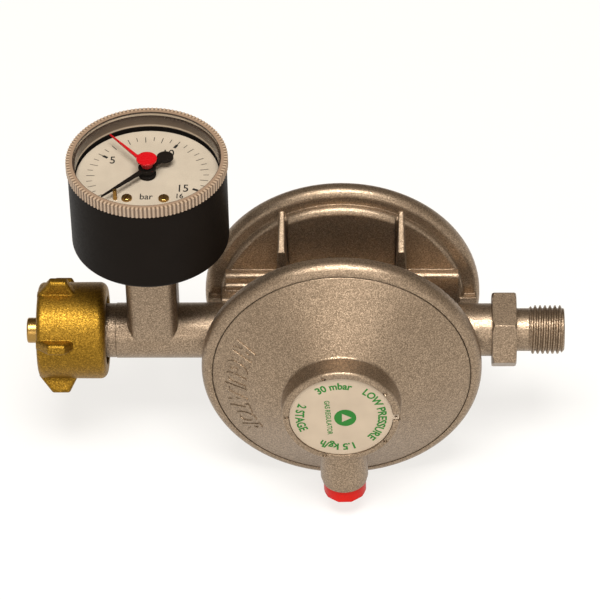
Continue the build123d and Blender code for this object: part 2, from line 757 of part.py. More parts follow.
def link():
    """Flat link from the tube's tip to the sector's tail, with a pin under its end."""
    tip = at_angle(*link_post)
    tail = sector_tail()
    strip = Pos(0, 0, 50.3) * bar(tip, tail, 1.2, 0.25)
    strip -= rod_z(0.8, (49, 52), *tip)
    return strip + rod_z(0.3, (48.8, 50.2), *tail)


def sector_centre():
    """Plan position of the sector's pivot."""
    return at_angle(gear_module * (pinion_teeth + sector_full_teeth) / 2, sector_angle)


def sector_tail():
    """Plan position of the hole in the sector's tail at rest."""
    x, y = sector_centre()
    return x + tail_r * cos(radians(100)), y + tail_r * sin(radians(100))


def gear_tooth(pitch_r, teeth, height_out, height_in, z):
    """One straight-flanked tooth along +X, a little thin so that it runs free."""
    half = pi / 2 * pitch_r / teeth * tooth_fill
    root, top = pitch_r - height_in, pitch_r + height_out
    tooth = make_face(Polyline(
        (root - 0.1, -half * 1.35), (root, -half * 1.35), (top, -half * 0.55),
        (top, half * 0.55), (root, half * 1.35), (root - 0.1, half * 1.35), close=True))
    return Pos(0, 0, z[0]) * extrude(tooth, z[1] - z[0])


def pinion_arbor():
    """Arbor of the pointer with its pinion and the hairspring's collet."""
    pitch_r = gear_module * pinion_teeth / 2
    z = (48.2, 50.6)
    arbor = rod_z(arbor_r, (46.3, 56.0))
    arbor += rod_z(pitch_r - gear_module, z)
    arbor += rod_z(0.9, (50.9, 51.7))
    toward_sector = sector_angle + 180 / pinion_teeth
    for index in range(pinion_teeth):
        tooth = gear_tooth(pitch_r, pinion_teeth, 0.15, 0.2, z)
        arbor += Rot(0, 0, toward_sector + index * 360 / pinion_teeth) * tooth
    return Pos(gauge_x, 0, 0) * arbor


def sector_gear():
    """Toothed sector on its own arbor, with the tail that the link pulls."""
    pitch_r = gear_module * sector_full_teeth / 2
    z = (49.0, 49.8)
    pitch_angle = 360 / sector_full_teeth
    edge = pitch_r - 0.2
    first_edge = radians((0.5 - sector_teeth[0]) * pitch_angle)
    last_edge = radians((0.5 - sector_teeth[1]) * pitch_angle)
    reach = 1.2 * edge
    fan = make_face(Polyline(
        (0, -1.0), (reach * cos(last_edge), reach * sin(last_edge)),
        (reach * cos(first_edge), reach * sin(first_edge)), (0, 1.0), close=True))
    gear = extrude(fan & Circle(edge), z[1] - z[0])
    gear = Pos(0, 0, z[0]) * gear
    for index in range(*sector_teeth):
        tooth = gear_tooth(pitch_r, sector_full_teeth, 0.15, 0.2, z)
        gear += Rot(0, 0, -index * pitch_angle) * tooth
    gear = Rot(0, 0, sector_angle - 180) * gear
    tail = (tail_r * cos(radians(100)), tail_r * sin(radians(100)))
    gear += Pos(0, 0, sum(z) / 2) * bar((0, 0), tail, 1.8, (z[1] - z[0]) / 2)
    gear += rod_z(1.3, z)
    gear -= rod_z(0.45, (48, 51), *tail)
    gear += rod_z(arbor_r, (46.3, 53.0))
    return Pos(*sector_centre(), 0) * gear


def movement_plate(z):
    """Round plate with the bearing holes of both arbors."""
    plate = rod_z(12.2, z, gauge_x)
    for x, y in ((gauge_x, 0.0), sector_centre()):
        plate -= rod_z(arbor_r + 0.05, (z[0] - 1, z[1] + 1), x, y)
    return plate


def front_plate():
    """Upper plate of the movement, drilled for the dial's screws."""
    plate = movement_plate(front_plate_z)
    for angle in dial_screw_angles:
        plate -= rod_z(0.6, (50, 56), *at_angle(dial_screw_r, angle))
    return plate


def movement_pillars():
    """Two posts that space the plates."""
    z = (back_plate_z[1], front_plate_z[0])
    return Compound(children=[rod_z(1.0, z, *at_angle(9.5, angle)) for angle in (60, -60)])


def hairspring():
    """Flat spiral that takes up the play, drawn as half rings of growing radius."""
    pitch, strip = 0.5, 0.12
    spiral = None
    for index in range(11):
        radius = 1.05 + pitch / 2 * index
        ring = Circle(radius + strip) - Circle(radius)
        upper = index % 2 == 0
        half = ring & (Pos(0, 5 if upper else -5) * Rectangle(12, 10))
        half = Pos(0 if upper else pitch / 2, 0) * half
        spiral = half if spiral is None else spiral + half
    return Pos(gauge_x, 0, 51.0) * extrude(spiral, 0.5)


# ---- writing ---------------------------------------------------------------------------------------
def second_stage():
    """Moving and fixed inner pieces of the low-pressure stage."""
    lift = second_throw * (second_pivot[1] - second_axis_y) / second_pivot[0]
    pad_face = second_nozzle_x - lift - 0.02
    holder_y = (second_axis_y - 2.2, second_axis_y + 2.2)
    pivot_y = second_pivot[1]
    rim = (front_seat_y, front_seat_y - diaphragm_thickness)
    centre = (second_plate_y + diaphragm_thickness, second_plate_y)
    plate_y = (second_plate_y - 0.8, second_plate_y)
    clip_y = (-21.0, -20.0)
    return {
        "second_nozzle": nozzle(second_nozzle_x, -1, second_axis_y),
        "second_valve_pad": rod_x(pad_r, (pad_face - 1.0, pad_face), second_axis_y),
        "second_valve_holder": valve_holder(
            (9.0, pad_face - 0.5), holder_y, (pad_face - 1.0, pad_face), second_pivot[0],
            (second_axis_y - 1.2, holder_y[1] + 1)),
        "second_lever": lever(second_pivot, (second_pivot[0], second_axis_y), [
            second_pivot, (8.4, pivot_y), (3.6, second_stem_slot_y), (0, second_stem_slot_y)]),
        "second_lever_pin": lever_pin(second_pivot),
        "second_diaphragm": diaphragm(centre, rim, stem_r + 0.1),
        "second_plate": disc_y(22.0, stem_r + 0.1, plate_y),
        "second_stem": second_stem(),
        "relief_clip": disc_y(4.4, stem_r, clip_y),
        "relief_spring": coil_spring_y(3.2, 0.35, (clip_y[1], plate_y[0]), 5),
        "second_spring": coil_spring_y(8.5, 0.7, (front_screw_y[1], plate_y[0]), 5),
    }


def first_stage():
    """Moving and fixed inner pieces of the first stage."""
    lift = first_throw * (first_axis_y - first_pivot[1]) / -first_pivot[0]
    pad_face = first_nozzle_x + lift + 0.02
    holder_y = (first_axis_y - 2.1, first_axis_y + 2.1)
    pivot_y = first_pivot[1]
    rim = (rear_seat_y, rear_seat_y + diaphragm_thickness)
    centre = (first_plate_y - diaphragm_thickness, first_plate_y)
    plate_y = (first_plate_y, first_plate_y + 0.8)
    return {
        "first_nozzle": nozzle(first_nozzle_x, 1, first_axis_y),
        "first_valve_pad": rod_x(pad_r - 0.4, (pad_face, pad_face + 1.0), first_axis_y),
        "first_valve_holder": valve_holder(
            (pad_face + 0.5, -10.5), holder_y, (pad_face, pad_face + 1.0), first_pivot[0],
            (holder_y[0] - 1, first_axis_y + 1.2)),
        "first_lever": lever(first_pivot, (first_pivot[0], first_axis_y), [
            first_pivot, (-8.6, pivot_y), (-3.6, first_stem_slot_y), (0, first_stem_slot_y)]),
        "first_lever_pin": lever_pin(first_pivot),
        "first_diaphragm": diaphragm(centre, rim, stem_r),
        "first_plate": disc_y(20.0, stem_r, plate_y),
        "first_stem": first_stem(),
        "first_stem_nut": first_stem_nut(),
        "first_spring": coil_spring_y(6.6, 0.9, (plate_y[1], rear_screw_y[0]), 4),
    }


def gauge():
    """Every piece of the contents gauge."""
    return {
        "gauge_socket": gauge_socket(), "gauge_seal": gauge_seal(),
        "gauge_restrictor": gauge_restrictor(), "gauge_case": gauge_case(),
        "case_nut": case_nut(), "knurled_ring": knurled_ring(),
        "gauge_window": gauge_window(), "marker_pointer": marker_pointer(),
        "pointer": pointer(), "dial": dial(), "dial_screws": dial_screws(),
        "stop_pin": stop_pin(), "bourdon_tube": bourdon_tube(),
        "tube_holder": tube_holder(), "tube_tip": tube_tip(), "link": link(),
        "sector_gear": sector_gear(), "pinion_arbor": pinion_arbor(),
        "back_plate": movement_plate(back_plate_z), "front_plate": front_plate(),
        "movement_pillars": movement_pillars(), "hairspring": hairspring(),
    }


def housing():
    """Castings, covers and what is fixed to them, with the inlet and the outlet."""
    return {
        "body_casting": body_casting(), "front_cover": front_cover(),
        "rear_cover": rear_cover(), "label_plate": label_plate(),
        "front_adjusting_screw": front_adjusting_screw(),
        "rear_adjusting_screw": rear_adjusting_screw(), "rear_cap": rear_cap(),
        "vent_plug": vent_plug(), "outlet_fitting": outlet_fitting(),
        "inlet_spigot": inlet_spigot(), "spigot_seal": spigot_seal(),
        "inlet_filter": inlet_filter(), "hand_nut": hand_nut(),
        "nut_slip_ring": nut_slip_ring(),
    }


def write_parts():
    """Write one STEP file per piece, with the origin moved to the nut's mouth."""
    os.makedirs("parts", exist_ok=True)
    for group in (housing(), second_stage(), first_stage(), gauge()):
        for name, shape in group.items():
            export_step(Pos(inlet_to_chambers, 0, 0) * shape, f"parts/{name}.step")


write_parts()
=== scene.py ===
"""Look of the two-stage gas regulator: materials, print, threads, light and camera."""

import json
from math import cos, hypot, radians, sin, tau

import bmesh
import bpy
from mathutils import Matrix, Vector


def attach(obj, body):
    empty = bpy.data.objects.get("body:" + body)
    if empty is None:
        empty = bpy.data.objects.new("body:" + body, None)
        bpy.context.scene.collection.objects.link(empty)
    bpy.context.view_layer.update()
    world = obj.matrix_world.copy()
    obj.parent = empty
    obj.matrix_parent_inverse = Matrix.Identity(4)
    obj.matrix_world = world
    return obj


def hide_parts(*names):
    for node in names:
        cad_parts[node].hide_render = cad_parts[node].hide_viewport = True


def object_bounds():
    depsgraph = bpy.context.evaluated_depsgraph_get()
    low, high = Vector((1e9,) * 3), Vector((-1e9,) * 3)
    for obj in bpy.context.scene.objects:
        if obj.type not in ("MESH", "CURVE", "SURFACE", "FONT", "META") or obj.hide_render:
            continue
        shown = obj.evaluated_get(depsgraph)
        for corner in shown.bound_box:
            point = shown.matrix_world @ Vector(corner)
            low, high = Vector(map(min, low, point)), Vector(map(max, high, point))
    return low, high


MM = 0.001

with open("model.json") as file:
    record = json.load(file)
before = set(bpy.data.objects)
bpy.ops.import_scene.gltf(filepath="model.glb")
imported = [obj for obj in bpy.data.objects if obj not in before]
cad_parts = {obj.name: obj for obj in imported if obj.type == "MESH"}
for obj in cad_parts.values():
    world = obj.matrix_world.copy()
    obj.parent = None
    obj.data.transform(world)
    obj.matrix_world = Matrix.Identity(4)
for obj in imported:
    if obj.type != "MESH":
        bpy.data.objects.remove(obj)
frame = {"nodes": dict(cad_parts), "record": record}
nodes = frame["nodes"]
cad_low, cad_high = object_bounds()
scene = bpy.context.scene

# ---- sizes taken over from the CAD model, in millimetres -------------------------------
CHAMBER_X = 82.0            # axis of the round chambers
GAUGE_X = 31.6              # axis of the gauge
DIAL_Z = 54.0               # printed face of the dial
LABEL_Y = -34.5             # printed face of the label
NECK_END_X = 132.4          # where the outlet's thread starts
OUTLET_END_X = 142.0
OUTLET_BORE_R = 3.2
THREAD_R = 6.58             # over the crests
THREAD_PITCH = 1.337
ZERO_ANGLE = 230.5          # angle of 0 bar on the dial, counter-clockwise from +X
DEGREES_PER_BAR = 17.0
CONE_EDGE_R = 34.4          # where the front cover's cone starts
CONE_EDGE_Y = -18.3
CONE_SLOPE = 10.5 / 18.6    # rise along the axis for each step inward
RING_R = 21.2
RING_WALL_R = 19.4          # inner wall of the gauge's ring
RING_TOP_Z = 60.0
RING_KNURLS = 120

# ---- sizes that only this script has, in millimetres ------------------------------------
PRINT_LIFT = 0.02           # height of the print above its face
CAPITAL_SHARE = 0.7         # height of a capital letter in the font, as a share of its size
FULL_SCALE_BAR = 16
TICK_END_R = 16.1
RELIEF_HEIGHT = 0.2
THREAD_DEPTH = 0.80
THREAD_NECK_R = 5.8         # radius of the thread's undercut
THREAD_RUN_IN = 0.9         # length over which the thread rises from its undercut
LABEL_TEXT_R = 10.9
LABEL_MARK = (1.1, -0.4)    # centre of the disc with the arrow
LABEL_DISC_R = 2.95
LABEL_ARROW_R = 1.7
FLOOR_GAP = 0.4


# ---- materials --------------------------------------------------------------------------
def new_material(name):
    """Empty material with its shader; returns the material, its tree and the shader."""
    material = bpy.data.materials.new(name)
    material.use_nodes = True
    tree = material.node_tree
    shader = tree.nodes["Principled BSDF"]
    return material, tree, shader


def object_coordinates(tree):
    """Coordinates of the frame that all the pieces share, in metres."""
    return tree.nodes.new("ShaderNodeTexCoord").outputs["Object"]


def noise(tree, scale, detail=2.0, roughness=0.5):
    """Noise of the given scale, per metre."""
    node = tree.nodes.new("ShaderNodeTexNoise")
    node.inputs["Scale"].default_value = scale
    node.inputs["Detail"].default_value = detail
    node.inputs["Roughness"].default_value = roughness
    tree.links.new(object_coordinates(tree), node.inputs["Vector"])
    return node.outputs["Fac"]


def cells(tree, scale):
    """Random value for each small cell of the surface."""
    node = tree.nodes.new("ShaderNodeTexVoronoi")
    node.inputs["Scale"].default_value = scale
    tree.links.new(object_coordinates(tree), node.inputs["Vector"])
    split = tree.nodes.new("ShaderNodeSeparateColor")
    tree.links.new(node.outputs["Color"], split.inputs["Color"])
    return split.outputs["Red"]


def ramp(tree, value, stops):
    """Colour ramp from a value; stops are (place, colour or grey)."""
    node = tree.nodes.new("ShaderNodeValToRGB")
    band = node.color_ramp
    while len(band.elements) < len(stops):
        band.elements.new(0.5)
    for element, (place, colour) in zip(band.elements, stops):
        grey = isinstance(colour, (int, float))
        element.position = place
        element.color = (colour, colour, colour, 1) if grey else (*colour, 1)
    tree.links.new(value, node.inputs["Fac"])
    return node.outputs["Color"]


def math_node(tree, operation, a, b=0.0):
    """One arithmetic step on values or numbers; some operations need only the first."""
    node = tree.nodes.new("ShaderNodeMath")
    node.operation = operation
    for socket, value in zip(node.inputs, (a, b)):
        if isinstance(value, (int, float)):
            socket.default_value = value
        else:
            tree.links.new(value, socket)
    return node.outputs["Value"]


def mix_colour(tree, share, a, b):
    """Mix of two colours, each a socket or a colour."""
    node = tree.nodes.new("ShaderNodeMix")
    node.data_type = "RGBA"
    for socket, value in ((node.inputs["Factor"], share), (node.inputs[6], a),
                          (node.inputs[7], b)):
        if isinstance(value, (int, float)):
            socket.default_value = value
        elif isinstance(value, tuple):
            socket.default_value = (*value, 1)
        else:
            tree.links.new(value, socket)
    return node.outputs[2]


def rounded_bump(tree, shader, height, strength, depth, edge_radius):
    """Bump over edges that the shader rounds off by a small radius."""
    bevel = tree.nodes.new("ShaderNodeBevel")
    bevel.samples = 4
    bevel.inputs["Radius"].default_value = edge_radius * MM
    bump = tree.nodes.new("ShaderNodeBump")
    bump.inputs["Strength"].default_value = strength
    bump.inputs["Distance"].default_value = depth * MM
    tree.links.new(height, bump.inputs["Height"])
    tree.links.new(bevel.outputs["Normal"], bump.inputs["Normal"])
    tree.links.new(bump.outputs["Normal"], shader.inputs["Normal"])


def cast_metal(name, dark, light, grain_scale, roughness, edge_radius, metallic=1.0):
    """Blasted casting: fine grain and painted glints over slow, faint blotches of tone."""
    material, tree, shader = new_material(name)
    grain = noise(tree, grain_scale, 2, 0.6)
    tone = ramp(tree, noise(tree, 70, 2), [(0.3, 0.0), (0.7, 1.0)])
    base = mix_colour(tree, tone, dark, light)
    grit = ramp(tree, noise(tree, grain_scale * 1.1, 2), [(0.38, 0.0), (0.6, 1.0)])
    darker = tuple(c * 0.66 for c in dark)
    skin = mix_colour(tree, grit, darker, base)
    facets = cells(tree, grain_scale * 1.6)
    # painted highlight: random cells lit up in the base colour as glints
    painted_glint = ramp(tree, facets, [(0.65, 0.0), (1.0, 1.0)])
    painted_glint_colour = tuple(c * 1.35 for c in light)
    tree.links.new(mix_colour(tree, painted_glint, skin, painted_glint_colour), shader.inputs["Base Color"])
    shader.inputs["Metallic"].default_value = metallic
    rough = ramp(tree, facets, [(0.1, roughness + 0.05), (0.9, roughness - 0.05)])
    tree.links.new(rough, shader.inputs["Roughness"])
    rounded_bump(tree, shader, grain, 1.0, 0.07, edge_radius)
    return material


def turned_metal(name, colour, roughness, line_scale):
    """Machined metal with fine lines and a little tarnish."""
    material, tree, shader = new_material(name)
    lines = noise(tree, line_scale, 2)
    tarnish = ramp(tree, noise(tree, 220, 3), [(0.35, 0.0), (0.75, 1.0)])
    darker = tuple(c * 0.72 for c in colour)
    tree.links.new(mix_colour(tree, tarnish, colour, darker), shader.inputs["Base Color"])
    shader.inputs["Metallic"].default_value = 1.0
    rough = ramp(tree, lines, [(0.3, roughness - 0.06), (0.7, roughness + 0.06)])
    tree.links.new(rough, shader.inputs["Roughness"])
    rounded_bump(tree, shader, lines, 0.2, 0.02, 0.12)
    return material


def moulded_plastic(name, colour, roughness, grain_scale, bump_strength=0.15, edge_radius=0.2,
                    specular=0.5):
    """Moulded plastic, rubber or enamel with a fine skin and faint uneven colour."""
    material, tree, shader = new_material(name)
    skin = noise(tree, grain_scale, 2)
    shade = ramp(tree, noise(tree, 150, 2), [(0.3, 0.0), (0.7, 1.0)])
    lighter = tuple(min(1.0, c * 1.12) for c in colour)
    tree.links.new(mix_colour(tree, shade, colour, lighter), shader.inputs["Base Color"])
    rough = ramp(tree, skin, [(0.3, max(0.02, roughness - 0.05)), (0.7, roughness + 0.05)])
    tree.links.new(rough, shader.inputs["Roughness"])
    shader.inputs["Specular IOR Level"].default_value = specular
    rounded_bump(tree, shader, skin, bump_strength, 0.02, edge_radius)
    return material


def knurl_with_painted_shading(tree, along, across):
    """Tan skin of the ring with painted knurl shading: lighter crests, darker grooves; from a
    place about its axis.
    """
    turn = math_node(tree, "ARCTAN2", across, along)
    wave = math_node(tree, "COSINE", math_node(tree, "MULTIPLY", turn, RING_KNURLS))
    height = math_node(tree, "ADD", math_node(tree, "MULTIPLY", wave, -0.5), 0.5)
    # painted highlight on the knurl's crests and painted shade in its grooves
    painted_crest_light = ramp(tree, height, [(0.25, 0.0), (0.7, 1.0)])
    return mix_colour(tree, painted_crest_light, (0.13, 0.083, 0.05), (0.38, 0.275, 0.19))


def wall_colour_with_painted_highlights(tree, z):
    """Dark inner wall of the ring with pale painted highlight bands where its clear edges catch
    the light.
    """
    dark, middle, pale = (0.04, 0.026, 0.018), (0.10, 0.07, 0.048), (0.40, 0.32, 0.235)
    bands_end = 8.0
    depth = math_node(tree, "SUBTRACT", RING_TOP_Z * MM, z)
    # the pale stops are painted highlights of the ring's clear edges
    return ramp(tree, math_node(tree, "MULTIPLY", depth, 1 / (bands_end * MM)), [
        (0.0, dark), (0.055, dark), (0.075, pale), (0.13, pale), (0.15, dark),
        (0.46, middle), (0.51, pale), (0.54, pale), (0.56, dark)])


def gauge_ring(name):
    """Clear tan-knurled ring with painted shading; inner wall shows the dark case and painted
    highlights.
    """
    material, tree, shader = new_material(name)
    place = tree.nodes.new("ShaderNodeSeparateXYZ")
    tree.links.new(object_coordinates(tree), place.inputs["Vector"])
    along = math_node(tree, "SUBTRACT", place.outputs["X"], GAUGE_X * MM)
    across = place.outputs["Y"]
    square = math_node(tree, "ADD", math_node(tree, "MULTIPLY", along, along),
                       math_node(tree, "MULTIPLY", across, across))
    radius = math_node(tree, "SQRT", square)
    share = math_node(tree, "MULTIPLY", radius, 1 / (RING_R * MM))
    wall_share = RING_WALL_R / RING_R
    skin = ramp(tree, share, [(wall_share - 0.001, 0.0), (wall_share + 0.004, 1.0)])
    outer = ramp(tree, share, [(0.948, 0.0), (0.958, 1.0)])
    tan = mix_colour(tree, outer, (0.24, 0.16, 0.105), knurl_with_painted_shading(tree, along, across))
    wall = wall_colour_with_painted_highlights(tree, place.outputs["Z"])
    tree.links.new(mix_colour(tree, skin, wall, tan), shader.inputs["Base Color"])
    tree.links.new(ramp(tree, skin, [(0.0, 0.15), (1.0, 0.35)]), shader.inputs["Roughness"])
    tree.links.new(ramp(tree, skin, [(0.0, 0.96), (1.0, 0.98)]), shader.inputs["Alpha"])
    return material


def window_pane(name):
    """Thin clear pane: nearly transparent, with a mirror that grows at grazing angles."""
    material, tree, shader = new_material(name)
    slant = tree.nodes.new("ShaderNodeLayerWeight").outputs["Facing"]
    gloss = math_node(tree, "MULTIPLY", math_node(tree, "POWER", slant, 4.0), 0.4)
    haze = math_node(tree, "MULTIPLY", noise(tree, 500, 2), 0.008)
    tree.links.new(math_node(tree, "ADD", gloss, haze), shader.inputs["Alpha"])
    shader.inputs["Base Color"].default_value = (0.10, 0.09, 0.08, 1)
    shader.inputs["Roughness"].default_value = 0.04
    return material


def paint(materials):
    """Give every CAD node the material of its slot in the record."""
    for entry in frame["record"]["subparts"]:
        node = nodes[entry["node"]]
        node.data.materials.clear()
        node.data.materials.append(materials[entry["material_slot"]])


MATERIALS = {
    "cast_metal": cast_metal("cast_metal", (0.28, 0.203, 0.135), (0.325, 0.242, 0.167), 2600,
                             0.40, 0.45, metallic=0.9),
    "brass_cast": cast_metal("brass_cast", (0.235, 0.125, 0.013), (0.285, 0.158, 0.019), 2300,
                             0.5, 0.5, metallic=0.97),
    "brass_turned": turned_metal("brass_turned", (0.42, 0.25, 0.07), 0.3, 1500),
    "bronze_filter": turned_metal("bronze_filter", (0.42, 0.25, 0.10), 0.6, 3000),
    "steel": turned_metal("steel", (0.55, 0.53, 0.50), 0.3, 1800),
    "valve_aluminium": turned_metal("valve_aluminium", (0.68, 0.68, 0.67), 0.3, 1800),
    "rubber": moulded_plastic("rubber", (0.018, 0.018, 0.018), 0.7, 1500),
    "label_white": moulded_plastic("label_white", (0.43, 0.345, 0.255), 0.42, 1200, 0.1,
                                   specular=0.2),
    "dial_white": moulded_plastic("dial_white", (0.385, 0.325, 0.25), 0.5, 1200, 0.08,
                                  specular=0.2),
    "case_black": moulded_plastic("case_black", (0.0065, 0.0045, 0.0032), 0.5, 1600, 0.2, 0.4,
                                  specular=0.05),
    "ring_clear": gauge_ring("ring_clear"),
    "window_clear": window_pane("window_clear"),
    "plug_red": moulded_plastic("plug_red", (0.50, 0.007, 0.0025), 0.34, 900, 0.15, 0.4,
                                specular=0.12),
    "marker_red": moulded_plastic("marker_red", (0.40, 0.003, 0.006), 0.28, 900, specular=0.3),
}
PRINT_BLACK = moulded_plastic("print_black", (0.012, 0.011, 0.010), 0.5, 1500, specular=0.15)
PRINT_GREEN = moulded_plastic("print_green", (0.018, 0.15, 0.02), 0.5, 1500, specular=0.2)
paint(MATERIALS)


# ---- mesh helpers -------------------------------------------------------------------------
def mesh_piece(name, verts, faces, material, body):
    """Object from vertices in millimetres, riding on a body, with its material slot."""
    mesh = bpy.data.meshes.new(name)
    mesh.from_pydata([Vector(v) * MM for v in verts], [], faces)
    mesh.materials.append(material)
    mesh.update()
    piece = bpy.data.objects.new(name, mesh)
    scene.collection.objects.link(piece)
    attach(piece, body)
    return piece


def letters(text, height, bold=0.0):
    """Flat glyph outlines as (vertices, faces), centred, with the given capital height."""
    curve = bpy.data.curves.new("letters", "FONT")
    curve.body = text
    curve.align_x = "CENTER"
    curve.size = height / CAPITAL_SHARE
    curve.offset = bold
    curve.resolution_u = 4
    holder = bpy.data.objects.new("letters", curve)
    scene.collection.objects.link(holder)
    bpy.context.view_layer.update()
    mesh = bpy.data.meshes.new_from_object(
        holder.evaluated_get(bpy.context.evaluated_depsgraph_get()))
    verts = [tuple(v.co) for v in mesh.vertices]
    faces = [tuple(p.vertices) for p in mesh.polygons]
    bpy.data.objects.remove(holder)
    bpy.data.curves.remove(curve)
    bpy.data.meshes.remove(mesh)
    return verts, faces


def polar(radius, angle):
    """Flat point at a radius and an angle in degrees."""
    return radius * cos(radians(angle)), radius * sin(radians(angle))


class Print:
    """Collects flat marks in a (right, up) plane and makes one thin piece of them."""

    def __init__(self):
        self.verts = []
        self.faces = []

    def add(self, verts, faces):
        """Take in flat points and the faces between them."""
        start = len(self.verts)
        self.verts += verts
        self.faces += [tuple(i + start for i in face) for face in faces]

    def straight(self, text, height, x, y, turn=0.0, width=1.0, bold=0.0):
        """Straight text centred at a point, turned by degrees and narrowed by width."""
        verts, faces = letters(text, height, bold)
        c, s = cos(radians(turn)), sin(radians(turn))
        placed = []
        for u, v, _ in verts:
            u, v = u * width, v - height / 2
            placed.append((x + c * u - s * v, y + s * u + c * v))
        self.add(placed, faces)

    def arc(self, text, height, radius, start, end, outward=True, bold=0.0):
        """Text that fills an arc; its tops point outward, or inward if outward is False."""
        verts, faces = letters(text, height, bold)
        left = min(v[0] for v in verts)
        right = max(v[0] for v in verts)
        placed = []
        for u, v, _ in verts:
            rise = v - height / 2
            angle = start + (end - start) * (u - left) / (right - left)
            placed.append(polar(radius + rise if outward else radius - rise, angle))
        self.add(placed, faces)

    def tick(self, angle, inner, outer, width):
        """Radial line of a scale."""
        c, s = cos(radians(angle)), sin(radians(angle))
        h = width / 2
        corners = [(inner, -h), (outer, -h), (outer, h), (inner, h)]
        self.add([(a * c - b * s, a * s + b * c) for a, b in corners], [(0, 1, 2, 3)])

    def band(self, outer, inner):
        """Flat band between two closed outlines with the same number of points."""
        count = len(outer)
        self.add(outer + inner, [(k, (k + 1) % count, count + (k + 1) % count, count + k)
                                 for k in range(count)])

    def piece(self, name, place, material, body, slot):
        """Piece with each flat point put in place by the function given."""
        return mesh_piece(name, [place(a, b) for a, b in self.verts], self.faces, material,
                          body)


# ---- dial and label print ------------------------------------------------------------------
def bar_angle(pressure):
    """Angle on the dial of a pressure in bar."""
    return ZERO_ANGLE - DEGREES_PER_BAR * pressure


def dial_print():
    """Scale 0 to 16 bar: half-bar ticks, heavier ticks and numbers at 5, 10 and 15."""
    marks = Print()
    for half_bars in range(2 * FULL_SCALE_BAR + 1):
        pressure = half_bars / 2
        angle = bar_angle(pressure)
        if pressure in (5, 10, 15):
            heavy_end = 14.7
            marks.tick(angle, heavy_end, TICK_END_R + 0.1, 0.22)
            marks.tick(angle, heavy_end - 1.5, heavy_end, 0.75)
        else:
            inner = 13.9 if half_bars % 2 == 0 else 14.6
            marks.tick(angle, inner, TICK_END_R, 0.2)
    for text, x, y, height in (("5", -9.5, 6.6, 2.9), ("10", 5.0, 9.4, 2.9),
                               ("15", 9.4, -5.1, 2.9), ("16", 8.6, -8.3, 1.9),
                               ("bar", 0.0, -8.5, 2.3)):
        marks.straight(text, height, x, y, width=0.8, bold=0.04)
    return marks.piece("dial_print", lambda a, b: (GAUGE_X + a, b, DIAL_Z + PRINT_LIFT),
                       PRINT_BLACK, "housing", "dial_white")


def flow_mark(marks):
    """Disc with a three-cornered arrow left open in it."""
    centre = Vector(LABEL_MARK)
    sides, steps = 3, 8
    disc, arrow = [], []
    for k in range(sides * steps):
        disc.append(tuple(centre + Vector(polar(LABEL_DISC_R, 360 * k / (sides * steps)))))
        side, step = divmod(k, steps)
        a = Vector(polar(LABEL_ARROW_R, side * 360 / sides))
        b = Vector(polar(LABEL_ARROW_R, (side + 1) * 360 / sides))
        arrow.append(tuple(centre + a.lerp(b, step / steps)))
    marks.band(disc, arrow)


def label_print():
    """Green print: two ratings, plain words and a disc with a plain flow arrow."""
    marks = Print()
    marks.arc("30 mbar", 2.2, LABEL_TEXT_R, 126, 74, bold=0.1)
    marks.arc("LOW PRESSURE", 2.2, LABEL_TEXT_R + 0.1, 56, -46, bold=0.1)
    marks.arc("1.5 kg/h", 2.2, LABEL_TEXT_R, -71, -121, bold=0.1)
    marks.arc("2 STAGE", 2.3, LABEL_TEXT_R, 157, 207, outward=False, bold=0.1)
    marks.straight("GAS REGULATOR", 1.35, -3.3, -0.3, turn=-86, width=0.8, bold=0.04)
    flow_mark(marks)
    return marks.piece("label_print", lambda a, b: (CHAMBER_X + a, LABEL_Y - PRINT_LIFT, b),
                       PRINT_GREEN, "housing", "label_white")


def on_cone(a, b, lift):
    """Place on the front cover's cone for a flat point, lifted off it by a distance."""
    radius = hypot(a, b)
    out, forward = CONE_SLOPE / hypot(1, CONE_SLOPE), 1 / hypot(1, CONE_SLOPE)
    y = CONE_EDGE_Y - (CONE_EDGE_R - radius) * CONE_SLOPE - lift * forward
    grow = 1 + lift * out / radius
    return CHAMBER_X + a * grow, y, b * grow


def cover_relief():
    """Plain raised word cast along the left side of the front cover."""
    word = Print()
    word.arc("REGULATOR", 5.4, 28.2, 152, 217, outward=False, bold=0.2)
    low = [on_cone(a, b, -RELIEF_HEIGHT) for a, b in word.verts]
    high = [on_cone(a, b, RELIEF_HEIGHT) for a, b in word.verts]
    count = len(low)
    sides = {}
    for face in word.faces:
        for k, j in zip(face, face[1:] + face[:1]):
            sides[k, j] = (k, j, j + count, k + count)
    walls = [wall for (k, j), wall in sides.items() if (j, k) not in sides]
    faces = [face[::-1] for face in word.faces] + walls
    faces += [tuple(k + count for k in face) for face in word.faces]
    piece = mesh_piece("cover_relief", low + high, faces, MATERIALS["cast_metal"],
                       "housing")
    work = bmesh.new()
    work.from_mesh(piece.data)
    bmesh.ops.recalc_face_normals(work, faces=work.faces)
    work.to_mesh(piece.data)
    work.free()


dial_print()
label_print()
cover_relief()


# ---- outlet with its real thread -------------------------------------------------------------
def thread_radius(x, turn):
    """Radius of the thread's surface at a place along the outlet and a share of a turn."""
    share = ((x - NECK_END_X) / THREAD_PITCH + turn) % 1.0
    groove = min(1.0, max(0.0, 2.4 * abs(2 * share - 1) - 0.7))
    run_in = min(1.0, max(0.0, (x - NECK_END_X) / THREAD_RUN_IN))
    painted_crest_light = THREAD_NECK_R + (THREAD_R - THREAD_NECK_R) * run_in
    chamfer = THREAD_R - 1.0 + (OUTLET_END_X - x)
    return min(painted_crest_light - THREAD_DEPTH * groove * run_in, chamfer)


def circle(work, x, radii):
    """Ring of new vertices about the pipe's axis, one for each radius given."""
    turns = [tau * k / len(radii) for k in range(len(radii))]
    return [work.verts.new((x * MM, r * cos(angle) * MM, r * sin(angle) * MM))
            for r, angle in zip(radii, turns)]


